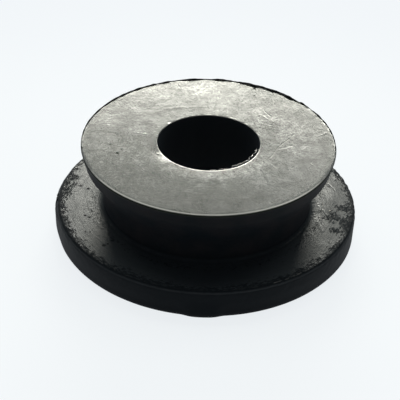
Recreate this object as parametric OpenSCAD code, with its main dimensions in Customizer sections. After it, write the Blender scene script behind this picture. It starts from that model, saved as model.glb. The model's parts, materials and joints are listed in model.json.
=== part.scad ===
// Rubber grommet: a bored bush with a wide foot flange, a waisted groove and a thinner top lip.
// One solid of moulded rubber, revolved about +Z. Units are mm, and z = 0 is the flat underside.

/* [Overall] */
// Height from the flat underside to the flat top face
height = 10; // [9:0.1:14]
// Diameter of the through bore
bore_d = 10; // [6:0.1:14]

/* [Foot flange] */
// Diameter of the foot flange at its top edge
flange_d = 30; // [27:0.1:36]
// Thickness of the foot flange, up to its flat top
flange_h = 3.2; // [2:0.1:4]
// Mould draft of the flange rim, degrees in from upright towards the underside
flange_draft = 1; // [0:0.5:8]
// Round of the flange's top edge
flange_top_round = 0.4; // [0.1:0.05:0.8]
// Round of the flange's bottom edge
flange_foot_round = 0.6; // [0.1:0.05:0.9]

/* [Groove] */
// Diameter of the neck at the bottom of the groove
neck_d = 20.8; // [17:0.1:22]
// Fillet between the neck and the flange's flat top
neck_foot_fillet = 0.45; // [0.1:0.05:1]
// Sweep radius that carries the neck up into the lip's sloping underside
neck_sweep = 4; // [1:0.1:5]

/* [Top lip] */
// Diameter of the lip at its top edge
lip_d = 25; // [24:0.1:30]
// Height of the lip's edge band
lip_band_h = 1.6; // [0.8:0.1:2]
// Mould draft of the edge band, degrees in from upright going down
lip_draft = 13; // [0:0.5:15]
// Slope of the lip's underside, degrees in from upright going down
underside_slope = 32; // [28:0.5:45]
// Round of the lip's top edge
lip_top_round = 0.3; // [0.1:0.05:0.6]
// Round between the edge band and the sloping underside
lip_low_round = 0.8; // [0.2:0.1:1.5]

/* [Bore mouths] */
// Round of the bore's two mouths
mouth_round = 0.25; // [0.1:0.05:0.6]

/* [Look] */
// Colour of the moulded rubber
rubber_colour = [0.09, 0.09, 0.09];

/* [Hidden] */
bore_r = bore_d / 2;
neck_r = neck_d / 2;
flange_r = flange_d / 2;
flange_foot_r = flange_r - flange_h * tan(flange_draft);
lip_r = lip_d / 2;
lip_low_r = lip_r - lip_band_h * tan(lip_draft);
lip_low_z = height - lip_band_h;
underside_foot_z = lip_low_z - (lip_low_r - neck_r) / tan(underside_slope);
// How far each corner piece runs past its own corner, so that it overlaps the blank
overlap = 0.05;
revolve_facets = 96;
edge_facets = 48;

// Unit vector of a direction in the section plane
function unit(v) = v / norm(v);

// The piece between a corner and the circle that touches both of its edges:
// added at a hollow corner it is a fillet, cut from an outer corner it is a round
module corner_piece(corner, edge_a, edge_b, radius) {
    a = unit(edge_a);
    b = unit(edge_b);
    half_angle = acos(a * b) / 2;
    reach = radius / tan(half_angle);
    middle = unit(a + b);
    centre = corner + middle * radius / sin(half_angle);
    difference() {
        polygon([corner - middle * overlap, corner + a * reach, centre, corner + b * reach]);
        translate(centre)
            circle(r = radius, $fn = edge_facets);
    }
}

// The half section with sharp corners: foot flange, neck and top lip
module sharp_section() {
    polygon([
        [bore_r, 0],
        [flange_foot_r, 0],
        [flange_r, flange_h],
        [neck_r, flange_h],
        [neck_r, underside_foot_z],
        [lip_low_r, lip_low_z],
        [lip_r, height],
        [bore_r, height]
    ]);
}

// The two fillets at the bottom of the groove
module groove_fillets() {
    corner_piece([neck_r, flange_h], [1, 0], [0, 1], neck_foot_fillet);
    corner_piece(
        [neck_r, underside_foot_z],
        [0, -1],
        [lip_low_r - neck_r, lip_low_z - underside_foot_z],
        neck_sweep
    );
}

// The rounds of the outer edges and of the bore's mouths
module edge_rounds() {
    lip_edge = [lip_r - lip_low_r, height - lip_low_z];
    underside = [lip_low_r - neck_r, lip_low_z - underside_foot_z];
    rim = [flange_r - flange_foot_r, flange_h];
    corner_piece([lip_r, height], [-1, 0], -lip_edge, lip_top_round);
    corner_piece([lip_low_r, lip_low_z], lip_edge, -underside, lip_low_round);
    corner_piece([flange_r, flange_h], [-1, 0], -rim, flange_top_round);
    corner_piece([flange_foot_r, 0], [-1, 0], rim, flange_foot_round);
    corner_piece([bore_r, height], [1, 0], [0, -1], mouth_round);
    corner_piece([bore_r, 0], [1, 0], [0, 1], mouth_round);
}

// The whole grommet as it leaves the mould
module grommet() {
    color(rubber_colour)
        rotate_extrude($fn = revolve_facets)
            difference() {
                union() {
                    sharp_section();
                    groove_fillets();
                }
                edge_rounds();
            }
}

grommet();
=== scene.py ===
import json
import math

import bpy
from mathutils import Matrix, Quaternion, Vector


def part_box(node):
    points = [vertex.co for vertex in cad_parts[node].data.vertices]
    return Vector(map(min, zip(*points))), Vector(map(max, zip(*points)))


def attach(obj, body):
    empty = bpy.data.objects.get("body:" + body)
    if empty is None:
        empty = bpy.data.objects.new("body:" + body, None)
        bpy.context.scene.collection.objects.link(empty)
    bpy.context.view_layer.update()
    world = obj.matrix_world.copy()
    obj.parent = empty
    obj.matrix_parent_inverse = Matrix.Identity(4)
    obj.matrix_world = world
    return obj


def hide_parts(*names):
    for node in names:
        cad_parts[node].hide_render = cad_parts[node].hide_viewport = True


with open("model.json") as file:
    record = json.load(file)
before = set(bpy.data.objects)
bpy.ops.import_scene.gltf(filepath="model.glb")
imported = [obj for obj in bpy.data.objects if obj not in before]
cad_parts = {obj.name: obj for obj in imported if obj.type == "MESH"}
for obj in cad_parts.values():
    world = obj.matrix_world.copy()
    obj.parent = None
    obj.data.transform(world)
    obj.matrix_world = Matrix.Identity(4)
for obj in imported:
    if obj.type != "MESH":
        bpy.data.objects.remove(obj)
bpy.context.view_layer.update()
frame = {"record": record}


# The moulding
# One solid moulding of black rubber, turned true about its bore: a flat foot flange, a waisted neck that
# sweeps out under the top lip, and a plain bore. The mould splits at the two edges, which stay ragged.
MM = 0.001
moulding_low, moulding_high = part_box("grommet")
moulding_height = (moulding_high[2] - moulding_low[2]) / MM
flange_radius = (moulding_high[0] - moulding_low[0]) / 2 / MM
bore_radius = frame["record"]["mounts"][0]["dims"]["r_mm"]

flange_height = 3.2
flange_draft = math.radians(1)
flange_top_round = 0.4
flange_foot_round = 0.6
flange_torn_band = 0.75
flange_border = 1.3
neck_radius = 10.4
neck_foot_fillet = 0.25
neck_sweep = 4.0
lip_radius = 12.5
lip_band = 1.6
lip_draft = math.radians(13)
underside_slope = math.radians(32)
lip_top_round = 0.1
lip_low_round = 0.8
lip_roll = 0.3
lip_fall = 0.08
mouth_round = 0.1
mouth_edge = 0.25
mouth_roll = 1.8
mouth_fall = 0.03
low_mouth_round = 0.25
roll_power = 1.5

around_steps = 400
weld_distance = 0.001 * MM
torn_turn = math.radians(58)


def outline_points(corners):
    """A closed outline with rounded corners, as rows of radius, height and raggedness.

    Each corner is (radius, height, round, step, raggedness): the step spaces the points on its round
    and on the edge after it, and the raggedness runs evenly to that of the next corner."""
    rows = []
    count = len(corners)
    leave = []
    for k, (x, z, bend, step, ragged) in enumerate(corners):
        here = Vector((x, z))
        to_last = (Vector(corners[k - 1][:2]) - here).normalized()
        to_next = (Vector(corners[(k + 1) % count][:2]) - here).normalized()
        half = to_last.angle(to_next) / 2
        if bend == 0:
            leave.append((here, here, None, None, 0))
            continue
        reach = bend / math.tan(half)
        centre = here + (to_last + to_next).normalized() * bend / math.sin(half)
        leave.append((here + to_last * reach, here + to_next * reach, centre, bend, math.pi - 2 * half))
    for k, (x, z, bend, step, ragged) in enumerate(corners):
        start, end, centre, radius, sweep = leave[k]
        if centre is None:
            rows.append((start.x, start.y, ragged))
        else:
            pieces = max(2, math.ceil(radius * sweep / min(step, radius / 3)))
            first = start - centre
            turn = first.angle_signed(end - centre)
            for i in range(pieces + 1):
                a = -turn * i / pieces
                rows.append((
                    centre.x + first.x * math.cos(a) - first.y * math.sin(a),
                    centre.y + first.x * math.sin(a) + first.y * math.cos(a),
                    ragged,
                ))
        following = leave[(k + 1) % count][0]
        next_ragged = corners[(k + 1) % count][4]
        pieces = max(1, round((following - end).length / step))
        for i in range(1, pieces):
            spot = end.lerp(following, i / pieces)
            rows.append((spot.x, spot.y, ragged + (next_ragged - ragged) * i / pieces))
    return rows


flange_foot_radius = flange_radius - flange_height * math.tan(flange_draft)
lip_low_radius = lip_radius - lip_band * math.tan(lip_draft)
lip_low = moulding_height - lip_band
underside_foot = lip_low - (lip_low_radius - neck_radius) / math.tan(underside_slope)
section = outline_points([
    (bore_radius, 0, low_mouth_round, 1.0, 0.0),
    (flange_foot_radius, 0, flange_foot_round, 0.2, 0.0),
    (flange_radius, flange_height, flange_top_round, 0.08, 0.3),
    (flange_radius - flange_torn_band, flange_height, 0, 0.16, 0.02),
    (flange_radius - flange_border, flange_height, 0, 0.16, 0.0),
    (neck_radius, flange_height, neck_foot_fillet, 0.2, 0.03),
    (neck_radius, underside_foot, neck_sweep, 0.2, 0.03),
    (lip_low_radius, lip_low, lip_low_round, 0.13, 0.04),
    (lip_radius, moulding_height, lip_top_round, 0.04, 0.1),
    (lip_radius - lip_roll, moulding_height, 0, 0.2, 0.0),
    (bore_radius + mouth_roll, moulding_height, 0, 0.12, 0.0),
    (bore_radius + mouth_edge, moulding_height, 0, 0.1, 0.0),
    (bore_radius, moulding_height, mouth_round, 1.0, 0.05),
])


def near_fall(radius, height):
    """How far a point of the section falls on the near side, where the top's two edges are rolled over."""
    if height < lip_low:
        return 0
    if radius > lip_radius - lip_roll:
        return lip_fall * ((radius - lip_radius + lip_roll) / lip_roll) ** roll_power
    if radius < bore_radius + mouth_roll:
        return mouth_fall * ((bore_radius + mouth_roll - radius) / mouth_roll) ** roll_power
    return 0


class Wire:
    """One socket of a node tree. Sums on wires and numbers add Math nodes to the tree."""

    def __init__(self, tree, socket=None):
        self.tree = tree
        self.socket = socket

    def node(self, kind, settings=None, sockets=None):
        """Adds a node: its settings, then its sockets' values or links, by name or number.

        Gives the node's first output."""
        new = self.tree.nodes.new(kind)
        for name, value in (settings or {}).items():
            setattr(new, name, value)
        for name, value in (sockets or {}).items():
            if isinstance(name, int):
                target = new.inputs[name]
            else:
                target = next(s for s in new.inputs if s.enabled and s.name == name)
            if isinstance(value, Wire):
                self.tree.links.new(value.socket, target)
            else:
                target.default_value = value
        live = [s for s in new.outputs if s.enabled]
        return Wire(self.tree, live[0] if live else None)

    def output(self, name):
        """Another output of the node that this wire leaves."""
        return Wire(self.tree, next(s for s in self.socket.node.outputs if s.enabled and s.name == name))

    def math(self, operation, *values):
        """Adds a Math node of these numbers and wires."""
        new = self.tree.nodes.new("ShaderNodeMath")
        new.operation = operation
        for target, value in zip(new.inputs, values):
            if isinstance(value, Wire):
                self.tree.links.new(value.socket, target)
            else:
                target.default_value = value
        return Wire(self.tree, new.outputs[0])

    def __add__(self, other):
        return self.math("ADD", self, other)

    def __radd__(self, other):
        return self.math("ADD", other, self)

    def __sub__(self, other):
        return self.math("SUBTRACT", self, other)

    def __rsub__(self, other):
        return self.math("SUBTRACT", other, self)

    def __mul__(self, other):
        return self.math("MULTIPLY", self, other)

    def __truediv__(self, other):
        return self.math("DIVIDE", self, other)

    def cut(self, low, high):
        """0 below low and 1 above high, eased between them; the other way round if low is the larger."""
        return self.node(
            "ShaderNodeMapRange",
            {"interpolation_type": "SMOOTHSTEP"},
            {"Value": self, "From Min": low, "From Max": high},
        )


def shape_tree(name, inputs):
    """A new shape tree whose inputs are its geometry, these ones and its rubber. Gives it and its inputs."""
    tree = bpy.data.node_groups.new(name, "GeometryNodeTree")
    tree.is_modifier = True
    geometry = ("Geometry", "NodeSocketGeometry")
    for title, kind in [geometry, *inputs, ("Rubber", "NodeSocketMaterial")]:
        tree.interface.new_socket(title, in_out="INPUT", socket_type=kind)
    tree.interface.new_socket(geometry[0], in_out="OUTPUT", socket_type=geometry[1])
    return tree, Wire(tree).node("NodeGroupInput")


def grid_of_rows(given, steps_around, steps_along):
    """A sheet of steps_around by steps_along quads, that the tree then bends into its shape."""
    return given.node("GeometryNodeMeshGrid", None, {
        "Size X": 1.0, "Size Y": 1.0, "Vertices X": steps_around + 1, "Vertices Y": steps_along + 1,
    })


def end_tree(given, geometry):
    """Gives the finished geometry its material and hands it out."""
    real = given.node("GeometryNodeRealizeInstances", None, {"Geometry": geometry})
    finished = given.node("GeometryNodeSetMaterial", None, {
        "Geometry": real, "Material": given.output("Rubber"),
    })
    given.node("NodeGroupOutput", None, {"Geometry": finished})


def turned_tree():
    """Turns a half section round +Z, wears its edges and gives it its material."""
    tree, given = shape_tree("turned_moulding", [
        ("Steps around", "NodeSocketInt"),
        ("Steps along", "NodeSocketInt"),
        ("Tear depth", "NodeSocketFloat"),
        ("Tear size", "NodeSocketFloat"),
        ("Torn side", "NodeSocketVector"),
        ("Swell depth", "NodeSocketFloat"),
        ("Foot sag", "NodeSocketFloat"),
        ("Flange drift", "NodeSocketVector"),
        ("Warp depth", "NodeSocketFloat"),
        ("Warp size", "NodeSocketFloat"),
        ("Seed", "NodeSocketFloat"),
    ])
    along = given.output("Steps along")
    grid = grid_of_rows(given, given.output("Steps around"), along)
    place = given.node("GeometryNodeInputPosition")
    split = given.node("ShaderNodeSeparateXYZ", None, {"Vector": place})
    turn = (split + 0.5) * math.tau
    row = given.math("MODULO", given.math("ROUND", (split.output("Y") + 0.5) * along), along)

    def at_row(kind, value):
        """What the half section's point of this row holds."""
        return given.node("GeometryNodeSampleIndex", {"data_type": kind}, {
            "Geometry": given.output("Geometry"), "Value": value, "Index": row,
        })

    def named(name):
        return given.node("GeometryNodeInputNamedAttribute", {"data_type": "FLOAT"}, {"Name": name})

    point = given.node("ShaderNodeSeparateXYZ", None, {"Vector": at_row("FLOAT_VECTOR", place)})
    ragged_here = named("ragged")
    marked = given.node("GeometryNodeStoreNamedAttribute", {"data_type": "FLOAT"}, {
        "Geometry": grid, "Name": "ragged", "Value": at_row("FLOAT", ragged_here),
    })
    way_x = given.math("COSINE", turn)
    way_y = given.math("SINE", turn)
    up = point.output("Z") / MM

    # The rim of the flange: swollen at the left, sagged at the foot in front, and a little off centre.
    # Radii and heights are in mm.
    on_rim = (point / MM).cut(11.0, 14.5) * up.cut(3.5, 3.1)
    at_left = given.output("Swell depth") * way_x.cut(-0.95, -1.0)
    swell = at_left * up.cut(3.1, 2.5) * up.cut(0.0, 1.0) * on_rim
    in_front = way_y.cut(-0.99, -1.0) * 2.2 - way_y.cut(-0.3, -0.75)
    sag = given.output("Foot sag") * in_front * up.cut(2.2, 0.6) * on_rim
    reach = point + swell + sag
    turned = given.node("ShaderNodeCombineXYZ", None, {
        "X": reach * way_x,
        "Y": reach * way_y,
        "Z": point.output("Z") - at_row("FLOAT", named("fall")) * way_y.cut(0.1, -0.45),
    })
    drift = given.node("ShaderNodeVectorMath", {"operation": "SCALE"}, {
        "Vector": given.output("Flange drift"), "Scale": on_rim,
    })
    solid = given.node("GeometryNodeSetPosition", None, {
        "Geometry": marked, "Position": turned, "Offset": drift,
    })
    closed = given.node("GeometryNodeMergeByDistance", None, {
        "Geometry": solid, "Distance": weld_distance,
    })

    # The wear: torn edges, most of all on the torn side, and a moulding that isn't quite true
    spun = given.node("ShaderNodeSeparateXYZ", None, {"Vector": given.node("GeometryNodeInputPosition")})

    def lumps(size, seed_shift):
        """Soft noise from -1 to 1 whose lumps are about size across."""
        return given.node("ShaderNodeTexNoise", {"noise_dimensions": "4D"}, {
            "Vector": given.node("GeometryNodeInputPosition"),
            "W": given.output("Seed") + seed_shift,
            "Scale": given.math("DIVIDE", 1.0, size),
            "Detail": 2.0,
        }) * 2.0 - 1.0

    heading = given.node("ShaderNodeVectorMath", {"operation": "NORMALIZE"}, {
        "Vector": given.node("ShaderNodeCombineXYZ", None, {"X": spun, "Y": spun.output("Y")}),
    })
    facing = given.node("ShaderNodeVectorMath", {"operation": "DOT_PRODUCT"}, {
        0: heading, 1: given.output("Torn side"),
    })
    more_torn = facing.cut(0.3, 0.95) * 2.0 + 1.0
    tear = lumps(given.output("Tear size"), 0.0) * ragged_here * given.output("Tear depth") * more_torn
    off_the_floor = (spun.output("Z") / MM).cut(0.0, 2.0)
    warp = lumps(given.output("Warp size"), 7.0) * given.output("Warp depth") * off_the_floor
    push = given.node("ShaderNodeVectorMath", {"operation": "SCALE"}, {
        "Vector": given.node("GeometryNodeInputNormal"), "Scale": tear + warp,
    })
    worn = given.node("GeometryNodeSetPosition", None, {"Geometry": closed, "Offset": push})
    end_tree(given, given.node("GeometryNodeSetShadeSmooth", None, {"Geometry": worn}))
    return tree


def grow(name, mesh, tree, values):
    """Runs a shape tree on a mesh, its inputs set by name, and keeps what comes out as a plain object."""
    holder = bpy.data.objects.new(name, mesh)
    bpy.context.scene.collection.objects.link(holder)
    growing = holder.modifiers.new("growing", "NODES")
    growing.node_group = tree
    for item in tree.interface.items_tree:
        if item.in_out == "INPUT" and item.name in values:
            growing[item.identifier] = values[item.name]
    bpy.context.view_layer.update()
    grown_mesh = bpy.data.meshes.new_from_object(
        holder.evaluated_get(bpy.context.evaluated_depsgraph_get())
    )
    holder.modifiers.clear()
    bpy.data.objects.remove(holder)
    grown = bpy.data.objects.new(name, grown_mesh)
    bpy.context.scene.collection.objects.link(grown)
    return grown


def empty_material(name):
    """A new material without nodes, and a wire that adds nodes to it."""
    material = bpy.data.materials.new(name)
    material.use_nodes = True
    material.node_tree.nodes.clear()
    return material, Wire(material.node_tree)


# How far the marks' outlines wander, in mm
wander = 0.16
rubber_black = (0.0036, 0.0054, 0.0074, 1)
rubber_worn = (0.0088, 0.0087, 0.0104, 1)
rubber_polished = (0.0055, 0.0085, 0.005, 1)
# A paler rubber: the dust film on the flange's top, and painted light on the bore's wall
rubber_dust_and_bore_light = (0.016, 0.0205, 0.0245, 1)
dust_grey = (0.16, 0.155, 0.14, 1)
wall_gloss = 0.06
skin_gloss = 0.8
skin_share = 0.63
skin_rough = 0.175
flange_shade = 0.21
flange_fade = 0.1
wall_rough = 0.6
torn_rough = 0.3
corner_rough = 0.35
flange_rough = 0.06

# Heights and depths of the marks, in mm
peel_near = 0.009
peel_far = 0.0085
peel_coarse = 0.006
ridge_height = 0.003
scratch_depth = 0.004
nib_height = 0.006
lip_pit_depth = 0.002
dent_depth = 0.045
lump_height = 0.02
brushed_height = 0.012
brushed_rise = 0.01
flange_grain_height = 0.005
flange_ridge_height = 0.02
dust_height = 0.004
wall_grain_height = 0.004

# Marks of the mould and of use, in mm from the bore's axis: where they lie and how wide they are
top_ridges = [
    (-5.3, 5.3, -4.6, 5.95, 0.3),
    (-4.6, 5.95, -3.7, 6.3, 0.36),
    (-3.7, 6.3, -2.3, 6.55, 0.4),
    (-2.3, 6.55, -0.6, 6.7, 0.34),
    (-7.4, -3.35, -6.9, -3.95, 0.12),
    (5.95, -3.6, 6.6, -4.5, 0.12),
    (9.05, -1.0, 9.65, -0.3, 0.14),
    (8.2, -1.6, 8.9, -1.3, 0.12),
    (10.9, 1.8, 11.8, 2.55, 0.2),
    (5.1, 3.9, 6.3, 3.3, 0.16),
    (5.0, 5.6, 6.0, 4.6, 0.16),
]
top_scratches = [
    (8.5, 2.0, 6.85, -0.45, 0.09),
    (6.85, -0.45, 5.9, -2.6, 0.07),
    (6.85, -0.85, 8.25, -0.15, 0.09),
    (-3.55, 11.25, -3.05, 10.4, 0.1),
    (-3.05, 10.4, -2.3, 10.2, 0.09),
    (-10.5, 2.75, -9.9, 2.6, 0.08),
    (5.6, 6.3, 6.1, 5.3, 0.09),
]
top_nibs = [
    (-7.0, 1.23, 0.2), (-6.3, 1.08, 0.24), (9.94, -3.4, 0.22), (-4.84, -2.42, 0.25), (9.25, 3.36, 0.14),
]
top_pits = [
    (-12.26, -1.82, 0.22), (4.62, 10.75, 0.2), (4.6, 9.3, 0.14),
    (-8.75, -2.6, 0.22), (-9.6, -1.1, 0.16), (-8.4, -1.9, 0.14),
]
top_dents = [(-3.9, -2.1, 1.9)]
top_lumps = [(-3.97, 3.1, 0.34)]
top_coarse = [(6.2, 3.9, 2.4), (8.4, 1.0, 2.0), (5.8, 6.0, 1.8)]
top_dull = [
    (6.4, 8.2, 2.6), (8.4, 6.0, 2.2), (4.6, 9.4, 1.8),
    (-0.6, -10.4, 1.3), (2.8, -10.3, 1.5), (4.9, -9.4, 1.2),
]
top_bright = [
    (0.5, -6.6, 2.8), (4.5, -6.0, 2.6), (-0.5, 9.6, 2.8),
    (-4.5, 8.4, 2.2), (0.6, 6.3, 2.0), (9.0, -0.2, 3.4),
]
flange_torn_left = [(-13.4, 1.8, 1.0), (-14.0, 0.6, 1.0), (-13.6, 3.0, 0.9)]
flange_torn_right = [(12.6, -2.3, 1.5), (13.6, -3.4, 1.4), (13.5, -0.9, 1.1), (12.6, -4.6, 0.9)]
flange_pits = [
    (-12.87, 1.58, 0.2), (-12.05, 1.1, 0.22), (-11.95, -3.57, 0.17), (-11.5, -3.86, 0.2),
    (-11.3, -2.83, 0.12), (-11.64, -6.27, 0.13), (-11.18, -6.3, 0.12), (-10.1, -2.8, 0.12),
    (-8.9, -7.55, 0.24), (-9.66, -8.4, 0.26), (-9.3, -8.1, 0.16), (9.41, -6.09, 0.24),
    (9.8, -5.7, 0.12), (12.5, 3.0, 0.16),
]
flange_dust = [
    (12.31, -1.26, 0.13), (11.7, -0.4, 0.1), (10.12, -4.6, 0.11), (9.68, -4.15, 0.1), (11.7, -0.02, 0.08),
]
flange_dull = [(11.4, -3.2, 1.9), (12.4, -1.8, 1.3), (11.0, -1.6, 1.2)]
flange_ridges = [
    (10.55, -0.4, 10.8, -2.5, 0.3),
    (10.8, -2.5, 11.4, -4.8, 0.34),
    (10.55, -0.2, 10.1, -2.3, 0.18),
    (11.2, -0.2, 11.5, -2.0, 0.2),
    (11.5, -2.0, 11.3, -3.6, 0.18),
    (11.66, -1.2, 12.4, -3.15, 0.2),
    (12.5, 3.55, 13.1, 2.3, 0.16),
]


def rubber_material():
    """Black moulded rubber: a sheen on the two flat faces, matt walls, torn and speckled borders."""
    rubber, start = empty_material("moulded_rubber")
    place = start.node("ShaderNodeTexCoord").output("Object")
    in_mm = start.node("ShaderNodeVectorMath", {"operation": "SCALE"}, {"Vector": place, "Scale": 1 / MM})
    x = start.node("ShaderNodeSeparateXYZ", None, {"Vector": in_mm})
    y = x.output("Y")
    z = x.output("Z")
    radius = start.math("SQRT", x * x + y * y)

    def grain(size, detail=3.0, rough=0.55, vector=in_mm):
        """Noise from 0 to 1 whose lumps are about size across."""
        return start.node("ShaderNodeTexNoise", None, {
            "Vector": vector, "Scale": 1 / size, "Detail": detail, "Roughness": rough,
        })

    def larger(first, second):
        return start.math("MAXIMUM", first, second)

    def blend(factor, first, second):
        return start.node("ShaderNodeMix", {"data_type": "RGBA"}, {
            "Factor": factor, "A": first, "B": second,
        })

    drift = start.node("ShaderNodeSeparateColor", None, {"Color": grain(0.5, 2.0).output("Color")})
    wavy_x = x + drift * wander - wander / 2
    wavy_y = y + drift.output("Green") * wander - wander / 2

    def spots(marks, soft=0.5):
        """1 in each round mark, fading out over the soft share of its reach."""
        found = None
        for mark_x, mark_y, reach in marks:
            off_x = wavy_x - mark_x
            off_y = wavy_y - mark_y
            here = start.math("SQRT", off_x * off_x + off_y * off_y).cut(reach, reach * (1 - soft))
            found = here if found is None else larger(found, here)
        return found

    def strokes(marks):
        """1 along the middle of each straight mark, fading out to its width."""
        found = None
        for from_x, from_y, to_x, to_y, width in marks:
            reach = math.hypot(to_x - from_x, to_y - from_y)
            way_x = (to_x - from_x) / reach
            way_y = (to_y - from_y) / reach
            off_x = wavy_x - from_x
            off_y = wavy_y - from_y
            along = off_x * way_x + off_y * way_y
            across = off_y * way_x - off_x * way_y
            past = larger(larger(0 - along, along - reach), 0.0)
            here = start.math("SQRT", across * across + past * past).cut(width, 0.0)
            found = here if found is None else larger(found, here)
        return found

    def squashed(share):
        """The place with its depth drawn out, for a grain that the low light reads as round."""
        return start.node("ShaderNodeVectorMath", {"operation": "MULTIPLY"}, {
            0: in_mm, 1: (1.0, share, 1.0),
        })

    specks = grain(0.24, 2.0, 0.5)
    peel = grain(0.155, 2.0, 0.55, squashed(0.42))
    bloom = grain(0.34, 2.0, 0.7, squashed(0.5))
    blotches = grain(1.1, 3.0)
    patches = grain(2.4, 3.0, 0.6)
    turn = start.math("ARCTAN2", x, 0 - y)

    def round_the_bore(per_mm, per_radian):
        """The place in turns round the bore, for a grain with so many lumps outwards and around."""
        return start.node("ShaderNodeCombineXYZ", None, {
            "X": radius * per_mm, "Y": turn * per_radian, "Z": z * 0.5,
        })

    drawn = grain(1.0, 2.0, 0.5, round_the_bore(5.0, 7.0))
    flecks = grain(1.0, 2.0, 0.55, round_the_bore(5.5, 34.0))

    # Where the two glossy faces lie: 1 on the lip's top, and 1 on the flange's top out from the neck
    out_of_the_bore = radius.cut(bore_radius, bore_radius + 0.08)
    on_lip = z.cut(moulding_height - 0.25, moulding_height - 0.17) * out_of_the_bore
    below_the_neck = z.cut(flange_height + 0.5, flange_height + 0.1)
    flange_top = below_the_neck * z.cut(flange_height - 0.3, flange_height - 0.05)
    on_flange = flange_top * (radius + specks * 1.2).cut(neck_radius + 0.6, neck_radius + 2.0)

    # The torn border of the flange, the two rough places on it, and the torn far edge of the lip
    border = radius.cut(flange_radius - 1.7, flange_radius - 0.2)
    rough_left = spots(flange_torn_left, 0.9)
    rough_right = spots(flange_torn_right, 0.9)
    torn_flange = (
        flecks * 2.0 + specks * 0.8 + blotches * 0.8 + border * 0.82 + rough_left * 0.58 + rough_right * 0.8
        + radius.cut(neck_radius + 2.0, neck_radius + 1.0) * 0.35
    ).cut(2.24, 2.42)
    torn_flange = larger(
        torn_flange * (1 - specks.cut(0.5, 0.6) * 0.32),
        radius.cut(flange_radius - 0.38, flange_radius - 0.24),
    )
    far_side = (y / radius).cut(0.1, 0.4)
    torn_side = (x / radius * math.cos(torn_turn) + y / radius * math.sin(torn_turn)).cut(0.9, 0.99)
    torn_width = far_side * 0.12 + torn_side * 0.26
    torn_lip = (radius - lip_radius + torn_width + (blotches - 0.5) * 0.8 * torn_width).cut(-0.05, 0.02)
    torn_lip = larger(torn_lip, radius.cut(lip_radius - 0.1, lip_radius - 0.04))
    lip_pits = spots(top_pits)
    pits = spots(flange_pits)
    torn = larger(on_lip * larger(torn_lip, lip_pits), on_flange * larger(torn_flange, pits))
    scratches = strokes(top_scratches)
    skin = larger(on_lip, on_flange) * (1 - torn) * (1 - scratches * on_lip * 0.5)

    # Heights in mm: the fine peel of the moulded skin, coarser in one place at the right, then each mark
    far_right = (x * 0.5 + y * 0.6).cut(-3.0, 8.0)
    coarse_place = spots(top_coarse, 0.9)
    lip_height = (
        peel * (peel_near + far_right * (peel_far - peel_near) + coarse_place * peel_coarse)
        + strokes(top_ridges) * ridge_height
        - scratches * scratch_depth
        + spots(top_nibs, 0.9) * nib_height
        - lip_pits * lip_pit_depth
        - spots(top_dents, 1.0) * dent_depth
        + spots(top_lumps, 0.9) * lump_height
    )
    dust = spots(flange_dust, 0.6)
    flange_marks = (
        drawn * (brushed_height + x.cut(6.0, 12.0) * brushed_rise)
        + grain(0.5, 2.0, 0.5) * flange_grain_height
        + strokes(flange_ridges) * flange_ridge_height
        + dust * dust_height
    )
    wall_height = grain(0.3, 3.0) * wall_grain_height
    on_wall = 1 - larger(on_lip, on_flange)
    height = on_lip * lip_height + on_flange * flange_marks + on_wall * wall_height
    bump = start.node("ShaderNodeBump", None, {"Strength": 1.0, "Distance": MM, "Height": height})

    # Black rubber, worn on the neck and the lip's wall, a film of dust on the flange, and painted light in
    # the bore
    worn = patches.cut(0.3, 0.75) * z.cut(flange_height, flange_height + 1.0)
    # The bore's wall is painted paler, as painted light standing in for the light that reaches into the bore
    dust_and_bore_light = larger(flange_top * (1 - torn), radius.cut(bore_radius + 0.1, bore_radius) * 0.6)
    shade = blend(worn, rubber_black, rubber_worn)
    shade = blend(on_lip, shade, rubber_polished)
    shade = blend(dust_and_bore_light, shade, rubber_dust_and_bore_light)
    colour = blend(dust * on_flange, shade, dust_grey)
    foot_of_the_neck = z.cut(flange_height + 0.7, flange_height + 0.3)
    corner = foot_of_the_neck * radius.cut(neck_radius + 0.6, neck_radius + 0.3)
    wall = start.node("ShaderNodeBsdfPrincipled", None, {
        "Base Color": colour,
        "Roughness": wall_rough + torn * torn_rough + corner * corner_rough,
        "Specular IOR Level": wall_gloss,
        "Normal": bump,
    })
    face = start.node("ShaderNodeBsdfPrincipled", None, {
        "Base Color": colour,
        "Roughness": skin_rough + blotches * 0.03 + on_flange * flange_rough,
        "Specular IOR Level": skin_gloss,
        "Normal": bump,
    })

    # The glossy share: the hollows between the peel's lumps are duller, the rolled edge is rubbed brighter
    near = y.cut(3.0, -6.0)
    mottle = ((blotches * 0.5 + patches * 0.5).cut(0.36, 0.62) - 0.5) * (0.36 - near * 0.2) + 0.88
    clouds = (bloom - 0.5) * (near * 0.6 + 0.6) * (1 - on_flange * 0.75)
    mottle = mottle * (clouds + 1.03 + x.cut(0.0, 7.0) * near * 0.3)
    duller = 1 - on_lip * spots(top_dull, 0.9) * 0.3
    brighter = 1 + on_lip * spots(top_bright, 1.0) * 0.22
    mottle = mottle * duller * brighter
    flange_patches = x.cut(6.0, 11.0) * patches.cut(0.64, 0.44) * 0.55
    mottle = mottle * (1 - on_flange * (flange_patches + spots(flange_dull, 0.9) * 0.3))
    lip_pores = peel.cut(0.5, 0.34) * 0.2 + specks.cut(0.36, 0.28) * 0.3
    pores = on_lip * lip_pores + on_flange * drawn.cut(0.5, 0.34) * 0.5
    full_share = skin_share - on_flange * (flange_shade + x.cut(8.0, 13.0) * flange_fade)
    share = mottle * (1 - pores) * full_share
    rubbed = on_lip * radius.cut(lip_radius - lip_roll, lip_radius - lip_roll * 0.6) * 0.9
    share = skin * (share + (1 - share) * rubbed)
    start.node("ShaderNodeOutputMaterial", None, {
        "Surface": start.node("ShaderNodeMixShader", None, {0: share, 1: wall, 2: face}),
    })
    return rubber


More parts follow.
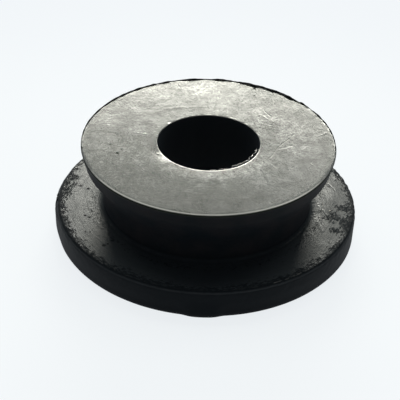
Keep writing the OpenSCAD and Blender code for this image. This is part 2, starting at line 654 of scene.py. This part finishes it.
section_mesh = bpy.data.meshes.new("half_section")
section_mesh.from_pydata(
    [(radius * MM, 0, height * MM) for radius, height, ragged in section],
    [(k, (k + 1) % len(section)) for k in range(len(section))],
    [],
)
section_mesh.attributes.new("ragged", "FLOAT", "POINT").data.foreach_set(
    "value", [ragged for radius, height, ragged in section]
)
section_mesh.attributes.new("fall", "FLOAT", "POINT").data.foreach_set(
    "value", [near_fall(radius, height) * MM for radius, height, ragged in section]
)
moulding = grow("rubber_moulding", section_mesh, turned_tree(), {
    "Steps around": around_steps,
    "Steps along": len(section),
    "Tear depth": 0.2 * MM,
    "Tear size": 0.45 * MM,
    "Torn side": (math.cos(torn_turn), math.sin(torn_turn), 0),
    "Swell depth": 0.2 * MM,
    "Foot sag": 0.1 * MM,
    "Flange drift": (-0.045 * MM, -0.05 * MM, 0),
    "Warp depth": 0.014 * MM,
    "Warp size": 9 * MM,
    "Seed": 3.0,
    "Rubber": rubber_material(),
})
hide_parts("grommet")
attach(moulding, "root")


# The torn flash
# Where the mould's parts met, thin rubber squeezed out and was torn away. It left a low ragged fin round
# the far side of the lip, loose strands at the near side of the bore, and a nub on the flange's rim.
strip_sides = 6
strip_step = 0.12
strip_weld = 0.0005 * MM
torn_bump = 0.01 * MM


def torn_strip_tree():
    """A ragged strip of rubber that follows an arc round the bore and runs out at both ends."""
    tree, given = shape_tree("torn_strip", [
        ("Steps", "NodeSocketInt"),
        *[(title, "NodeSocketFloat") for title in (
            "From turn", "To turn", "Radius", "Height", "Reach", "Rise", "Thickness", "Lump size",
            "Unevenness", "Seed",
        )],
    ])
    grid = grid_of_rows(given, given.output("Steps"), strip_sides)
    split = given.node("ShaderNodeSeparateXYZ", None, {"Vector": given.node("GeometryNodeInputPosition")})
    share = split + 0.5
    side = given.math("ROUND", (split.output("Y") + 0.5) * strip_sides)
    side = given.math("MODULO", side, strip_sides)
    turn = given.output("From turn") + share * (given.output("To turn") - given.output("From turn"))
    ends = share.cut(0.0, 0.07) * share.cut(1.0, 0.93)

    def lumps(shift):
        """Noise from 0 to 1 along the arc, whose lumps are about Lump size long; the shift sets it apart."""
        return given.node("ShaderNodeTexNoise", {"noise_dimensions": "1D"}, {
            "W": turn * given.output("Radius") / given.output("Lump size") + given.output("Seed") + shift,
            "Scale": 1.0,
            "Detail": 2.0,
        }).cut(0.3, 0.7)

    half_rise = given.output("Rise") * ((lumps(0.0) - 0.5) * given.output("Unevenness") + 0.9) * ends / 2.0
    half_thick = given.output("Thickness") * (lumps(31.0) * 0.8 + 0.4) * ends / 2.0
    centre = given.output("Radius") - given.output("Reach") * (lumps(57.0) * 0.7 + 0.6) * ends
    roll = side * (math.tau / strip_sides)
    radius = centre + given.math("COSINE", roll) * half_thick
    bent = given.node("ShaderNodeCombineXYZ", None, {
        "X": radius * given.math("COSINE", turn),
        "Y": radius * given.math("SINE", turn),
        "Z": given.output("Height") + (given.math("SINE", roll) + 0.8) * half_rise,
    })
    strip = given.node("GeometryNodeSetPosition", None, {"Geometry": grid, "Position": bent})
    end_tree(given, given.node("GeometryNodeMergeByDistance", None, {
        "Geometry": strip, "Distance": strip_weld,
    }))
    return tree


def torn_material(name, gloss, rough):
    """Torn rubber: a broken, grainy black surface."""
    torn, start = empty_material(name)
    in_mm = start.node("ShaderNodeVectorMath", {"operation": "SCALE"}, {
        "Vector": start.node("ShaderNodeTexCoord").output("Object"), "Scale": 1 / MM,
    })
    grain = start.node("ShaderNodeTexNoise", None, {"Vector": in_mm, "Scale": 7.0, "Detail": 3.0})
    colour = start.node("ShaderNodeMix", {"data_type": "RGBA"}, {
        "Factor": grain.cut(0.35, 0.65), "A": rubber_black, "B": rubber_worn,
    })
    bump = start.node("ShaderNodeBump", None, {"Strength": 1.0, "Distance": torn_bump, "Height": grain})
    start.node("ShaderNodeOutputMaterial", None, {
        "Surface": start.node("ShaderNodeBsdfPrincipled", None, {
            "Base Color": colour,
            "Roughness": rough + grain * 0.1,
            "Specular IOR Level": gloss,
            "Normal": bump,
        }),
    })
    return torn


torn_strip = torn_strip_tree()
fin_rubber = torn_material("torn_fin_rubber", gloss=0.05, rough=0.8)
strand_rubber = torn_material("torn_strand_rubber", gloss=0.5, rough=0.3)
# Where a strip sits, as radius, height and material
at_lip = (lip_radius - 0.06, moulding_height - 0.16, fin_rubber)
inside_lip = (lip_radius - 0.18, moulding_height - 0.18, fin_rubber)
at_rim = (flange_radius + 0.04, flange_height - 0.45, fin_rubber)
at_mouth = (bore_radius + 0.02, moulding_height - 0.14, strand_rubber)
# Name, from and to in degrees, where it sits, reach, rise, thickness, lump size, unevenness, seed
strips = [
    ("lip_fin_right", -6, 44, at_lip, 0.02, 0.31, 0.1, 1.6, 0.4, 8.0),
    ("lip_fin", 38, 188, at_lip, 0.02, 0.33, 0.12, 1.6, 0.3, 2.0),
    ("lip_fin_torn", 42, 82, inside_lip, 0.1, 0.36, 0.2, 2.2, 0.7, 5.0),
    ("rim_nub", 178.5, 183.5, at_rim, 0, 0.35, 0.3, 0.5, 0.6, 3.0),
    ("bore_strand", -64, -9, at_mouth, 0.3, 0.09, 0.09, 0.6, 0.6, 9.0),
    ("bore_shred", -79, -66, at_mouth, 0.16, 0.1, 0.12, 0.4, 0.6, 4.0),
    ("bore_nib", -88, -80, at_mouth, 0.18, 0.1, 0.12, 0.3, 0.6, 1.0),
]
for name, from_turn, to_turn, seat, reach, rise, thickness, lump, uneven, seed in strips:
    radius, height, rubber = seat
    strip = grow(name, bpy.data.meshes.new(name), torn_strip, {
        "Steps": round(math.radians(to_turn - from_turn) * radius / strip_step),
        "From turn": math.radians(from_turn),
        "To turn": math.radians(to_turn),
        "Radius": radius * MM,
        "Height": height * MM,
        "Reach": reach * MM,
        "Rise": rise * MM,
        "Thickness": thickness * MM,
        "Lump size": lump * MM,
        "Unevenness": uneven,
        "Seed": seed,
        "Rubber": rubber,
    })
    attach(strip, "root")


# The floor
# A plain pale studio sheet under the grommet, a hair below its underside so that the two don't meet in one
# plane. It runs out into a background of its own tone, and shadows fall on it only faintly.
background_tone = (0.888, 0.922, 0.948)
sheet_radius = 900 * MM
sheet_corners = 64
sheet_drop = 0.01 * MM
sheet_shade = 18 * MM
sheet_clear = 60 * MM
shadow_veil = 0.9


def seen_ray(start):
    """1 on what is seen, straight or in a reflection, and 0 on what only lights the grommet."""
    sight = start.node("ShaderNodeLightPath")
    return start.math("MAXIMUM", sight.output("Is Camera Ray"), start.math(
        "MAXIMUM", sight.output("Is Glossy Ray"), sight.output("Is Transmission Ray")))


def sheet_material():
    """Pale paper that takes a faint shadow near the grommet and none further out."""
    sheet, start = empty_material("studio_sheet")
    place = start.node("ShaderNodeTexCoord").output("Object")
    away = start.node("ShaderNodeVectorMath", {"operation": "LENGTH"}, {"Vector": place})
    paper = start.node("ShaderNodeBsdfDiffuse", None, {"Color": (*background_tone, 1)})
    plain = start.node("ShaderNodeEmission", None, {"Color": (*background_tone, 1), "Strength": 1.0})
    veil = away.cut(sheet_shade, sheet_clear) * (1 - shadow_veil) + shadow_veil
    mixed = start.node("ShaderNodeMixShader", None, {0: veil * seen_ray(start), 1: paper, 2: plain})
    start.node("ShaderNodeOutputMaterial", None, {"Surface": mixed})
    return sheet


floor_mesh = bpy.data.meshes.new("studio_sheet")
floor_mesh.from_pydata(
    [(sheet_radius * math.cos(a), sheet_radius * math.sin(a), -sheet_drop)
     for a in (math.tau * k / sheet_corners for k in range(sheet_corners))],
    [],
    [tuple(range(sheet_corners))],
)
floor_mesh.materials.append(sheet_material())
floor = bpy.data.objects.new("studio_sheet", floor_mesh)
bpy.context.scene.collection.objects.link(floor)


# The light
# A soft lamp low behind the grommet draws the sheen on its flat faces. A broader one high above it lights
# the rest, and a plain pale room fills in.
lamp_tone = (1.0, 0.993, 0.885)
lamp_distance = 0.6
room_fill = 0.15


def soft_lamp(name, turn, rise, width, depth, watts):
    """An area lamp that faces the grommet, from an angle round it and an angle above the floor.

    Its width and depth are in metres."""
    lamp = bpy.data.lights.new(name, "AREA")
    lamp.shape = "RECTANGLE"
    lamp.size = width
    lamp.size_y = depth
    lamp.energy = watts
    lamp.color = lamp_tone
    stand = bpy.data.objects.new(name, lamp)
    bpy.context.scene.collection.objects.link(stand)
    away = Vector((math.sin(turn) * math.cos(rise), math.cos(turn) * math.cos(rise), math.sin(rise)))
    stand.location = away * lamp_distance
    stand.rotation_euler = (-away).to_track_quat("-Z", "Y").to_euler()
    stand.visible_camera = False


soft_lamp("top_lamp", math.radians(0), math.radians(63), width=0.9, depth=0.34, watts=4.2)
soft_lamp("back_lamp", math.radians(0.7), math.radians(15.6), width=0.31, depth=0.272, watts=7.4)

room = bpy.data.worlds.new("room")
room.use_nodes = True
room.node_tree.nodes.clear()
room_start = Wire(room.node_tree)
room_light = room_start.node("ShaderNodeMix", {"data_type": "RGBA"}, {
    "Factor": seen_ray(room_start),
    "A": (room_fill, room_fill, room_fill, 1),
    "B": (*background_tone, 1),
})
room_start.node("ShaderNodeOutputWorld", None, {
    "Surface": room_start.node("ShaderNodeBackground", None, {"Color": room_light, "Strength": 1.0}),
})
bpy.context.scene.world = room


# The camera
# A telephone about 13 cm away that looks down at 35 degrees, and is turned a little about its own line of
# sight.
camera_back = 105.68 * MM
camera_height = 76.24 * MM
camera_down = math.radians(34.703)
camera_turn = math.radians(0.365)
camera_roll = math.radians(1.805)
frame_pixels = 400
focal_pixels = 1273.5
sensor_width = 36.0

eye = bpy.data.cameras.new("camera")
eye.sensor_width = sensor_width
eye.lens = focal_pixels * sensor_width / frame_pixels
eye.clip_start = 1 * MM
eye.clip_end = 10
camera = bpy.data.objects.new("camera", eye)
bpy.context.scene.collection.objects.link(camera)
camera.location = (0, -camera_back, camera_height)
sight_line = Vector((
    -math.sin(camera_turn) * math.cos(camera_down),
    math.cos(camera_turn) * math.cos(camera_down),
    -math.sin(camera_down),
))
camera.rotation_euler = (
    sight_line.to_track_quat("-Z", "Y") @ Quaternion((0, 0, 1), camera_roll)
).to_euler()
bpy.context.scene.camera = camera
bpy.context.scene.view_settings.view_transform = "Standard"
